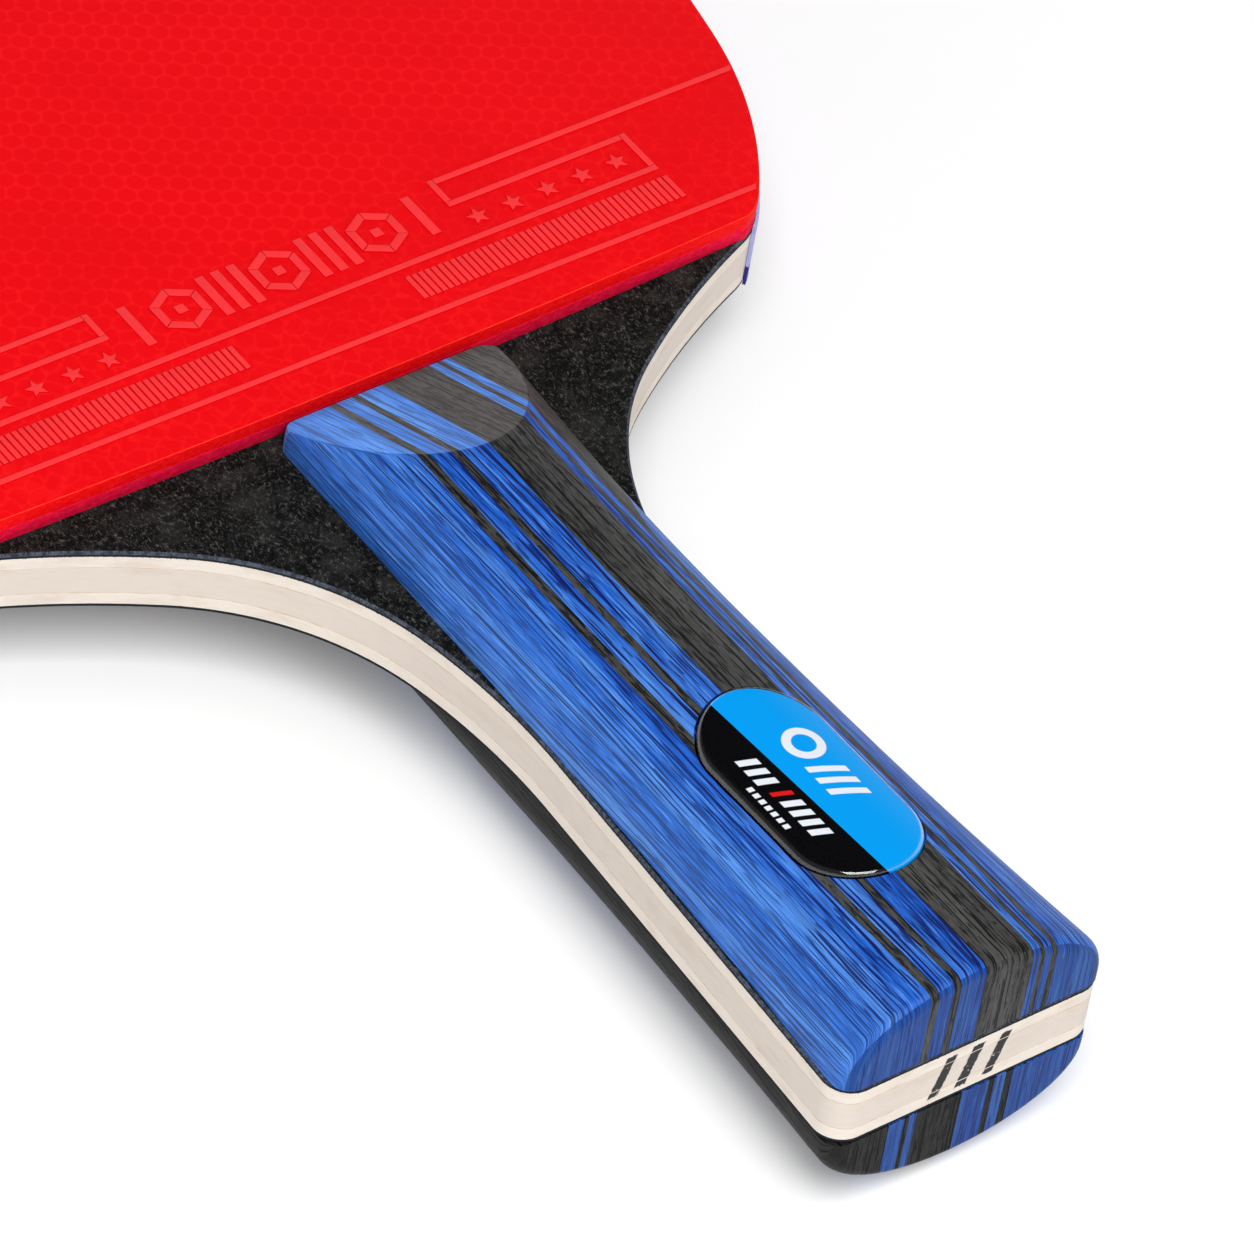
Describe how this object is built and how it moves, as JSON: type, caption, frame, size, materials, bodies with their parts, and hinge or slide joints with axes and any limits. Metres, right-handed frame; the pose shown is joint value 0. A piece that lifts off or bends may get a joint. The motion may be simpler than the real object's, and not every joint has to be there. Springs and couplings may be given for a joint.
{
  "type": "table tennis paddle",
  "caption": "Table tennis paddle with a plywood blade, striped flared handle scales, smooth rubber on both faces, an edge tape and a label under a clear lens.",
  "frame": {"origin": "under the middle of the bounding box, on the lowest line of the back handle scale", "axes": "+Z out of the red front rubber, +Y from the butt of the handle towards the tip of the head, X = 0 on the middle of the handle"},
  "size_m": [0.136, 0.2428, 0.0274],
  "materials": {
    "core_wood": "pale limba-like wood, end grain at the rim",
    "inner_wood": "pale wood veneer",
    "dyed_black_wood": "black dyed wood veneer, satin",
    "strip_blue": "blue dyed wood with dark grain streaks, satin lacquer",
    "strip_dark": "charcoal dyed wood with fine grain, satin lacquer",
    "front_sponge": "fine cellular sponge, crimson",
    "back_sponge": "fine cellular sponge, crimson",
    "red_sheet": "smooth red rubber with faint hexagonal pips below",
    "black_sheet": "smooth black rubber with faint hexagonal pips below",
    "edge_tape": "thin pale blue tape with a navy band along its lower edge",
    "print_dark": "black print",
    "print_light": "light blue print",
    "lens": "clear domed resin"
  },
  "bodies": {
    "root": {"core_ply": "core_wood", "front_inner_ply": "inner_wood", "back_inner_ply": "inner_wood", "front_face_ply": "dyed_black_wood", "back_face_ply": "dyed_black_wood", "front_scale_strip_01": "strip_blue", "front_scale_strip_02": "strip_dark", "front_scale_strip_03": "strip_blue", "front_scale_strip_04": "strip_dark", "front_scale_strip_05": "strip_blue", "front_scale_strip_06": "strip_dark", "front_scale_strip_07": "strip_blue", "front_scale_strip_08": "strip_dark", "front_scale_strip_09": "strip_blue", "front_scale_strip_10": "strip_dark", "front_scale_strip_11": "strip_blue", "back_scale_strip_01": "strip_dark", "back_scale_strip_02": "strip_blue", "back_scale_strip_03": "strip_dark", "back_scale_strip_04": "strip_blue", "back_scale_strip_05": "strip_dark", "back_scale_strip_06": "strip_blue", "back_scale_strip_07": "strip_dark", "back_scale_strip_08": "strip_blue", "back_scale_strip_09": "strip_dark", "back_scale_strip_10": "strip_blue", "front_sponge": "front_sponge", "back_sponge": "back_sponge", "front_sheet": "red_sheet", "back_sheet": "black_sheet", "edge_tape": "edge_tape", "label_print_dark": "print_dark", "label_print_light": "print_light", "label_lens": "lens"}
  },
  "joints": []
}
